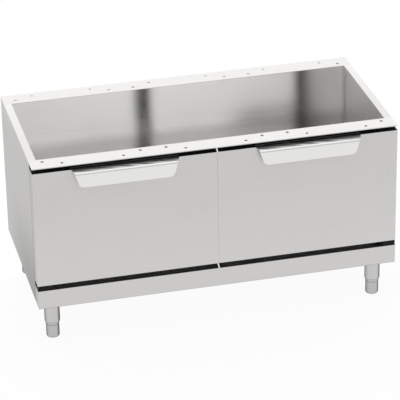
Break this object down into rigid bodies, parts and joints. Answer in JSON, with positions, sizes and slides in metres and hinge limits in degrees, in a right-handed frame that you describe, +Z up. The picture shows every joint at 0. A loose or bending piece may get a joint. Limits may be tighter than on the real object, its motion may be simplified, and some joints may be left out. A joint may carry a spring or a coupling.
{
  "type": "commercial kitchen base cabinet",
  "caption": "Open-topped stainless steel base cabinet on adjustable legs, with hinged doors and drilled flanges that carry drop-in appliances.",
  "frame": {"origin": "on the floor, under the middle of the whole footprint", "axes": "+X along the front from left to right, +Y from the doors to the back, +Z up"},
  "size_m": [1.2, 0.6072, 0.645],
  "materials": {
    "carcass_steel": "satin, brushed lengthwise",
    "inner_steel": "bright rolled, horizontal grain",
    "liner_steel": "satin, vertical spread",
    "floor_steel": "dull rolled",
    "plinth_steel": "satin, brushed along the front",
    "flange_steel": "satin, brushed along the front",
    "door_steel": "satin, brushed along the front",
    "handle_steel": "satin, brushed along its length",
    "leg_steel": "satin, turned",
    "foot_steel": "satin, turned",
    "fastener_steel": "plain",
    "black_hardware": "satin black",
    "black_plastic": "fine texture",
    "seal_rubber": "matte",
    "honeycomb": "paper honeycomb"
  },
  "bodies": {
    "carcass": {"back_panel": "inner_steel", "bottom_panel": "floor_steel", "floor_channel": "inner_steel", "plinth": "plinth_steel", "rear_apron": "carcass_steel", "top_rail_front": "flange_steel", "top_rail_rear": "flange_steel", "splice_plates": "inner_steel", "leg_bolts": "fastener_steel", "hinge_block_screws": "fastener_steel", "catch_screws": "fastener_steel", "side_panel_left": "carcass_steel", "side_panel_right": "carcass_steel", "hinge_bracket_left": "black_hardware", "hinge_bracket_right": "black_hardware", "hinge_block_left": "black_plastic", "hinge_block_right": "black_plastic", "hinge_pins_left": "black_hardware", "hinge_pins_right": "black_hardware", "catch_left": "black_plastic", "catch_right": "black_plastic", "leg_plate_front_left": "inner_steel", "leg_plate_front_right": "inner_steel", "leg_plate_rear_left": "inner_steel", "leg_plate_rear_right": "inner_steel", "leg_tube_front_left": "leg_steel", "leg_tube_front_right": "leg_steel", "leg_tube_rear_left": "leg_steel", "leg_tube_rear_right": "leg_steel", "leg_guide_front_left": "foot_steel", "leg_guide_front_right": "foot_steel", "leg_guide_rear_left": "foot_steel", "leg_guide_rear_right": "foot_steel"},
    "door_left": {"door_skin_left": "door_steel", "door_liner_left": "liner_steel", "door_core_left": "honeycomb", "door_top_cap_left": "black_plastic", "door_bottom_cap_left": "black_plastic", "door_seals_left": "seal_rubber", "hinge_bushes_left": "black_plastic", "striker_left": "fastener_steel", "handle_left": "handle_steel", "handle_screws_left": "fastener_steel"},
    "door_right": {"door_skin_right": "door_steel", "door_liner_right": "liner_steel", "door_core_right": "honeycomb", "door_top_cap_right": "black_plastic", "door_bottom_cap_right": "black_plastic", "door_seals_right": "seal_rubber", "hinge_bushes_right": "black_plastic", "striker_right": "fastener_steel", "handle_right": "handle_steel", "handle_screws_right": "fastener_steel"},
    "foot_front_left": {"foot_front_left": "foot_steel"},
    "foot_front_right": {"foot_front_right": "foot_steel"},
    "foot_rear_left": {"foot_rear_left": "foot_steel"},
    "foot_rear_right": {"foot_rear_right": "foot_steel"}
  },
  "joints": [
    {"name": "door_left_hinge", "type": "hinge", "parent": "carcass", "child": "door_left", "pos_m": [-0.59, -0.26442, 0.4], "axis": [0, 0, -1], "range_deg": [0, 110]},
    {"name": "door_right_hinge", "type": "hinge", "parent": "carcass", "child": "door_right", "pos_m": [0.59, -0.26442, 0.4], "axis": [0, 0, 1], "range_deg": [0, 110]},
    {"name": "foot_front_left_screw", "type": "slide", "parent": "carcass", "child": "foot_front_left", "axis": [0, 0, -1], "range_m": [0, 0.04]},
    {"name": "foot_front_right_screw", "type": "slide", "parent": "carcass", "child": "foot_front_right", "axis": [0, 0, -1], "range_m": [0, 0.04]},
    {"name": "foot_rear_left_screw", "type": "slide", "parent": "carcass", "child": "foot_rear_left", "axis": [0, 0, -1], "range_m": [0, 0.04]},
    {"name": "foot_rear_right_screw", "type": "slide", "parent": "carcass", "child": "foot_rear_right", "axis": [0, 0, -1], "range_m": [0, 0.04]}
  ]
}
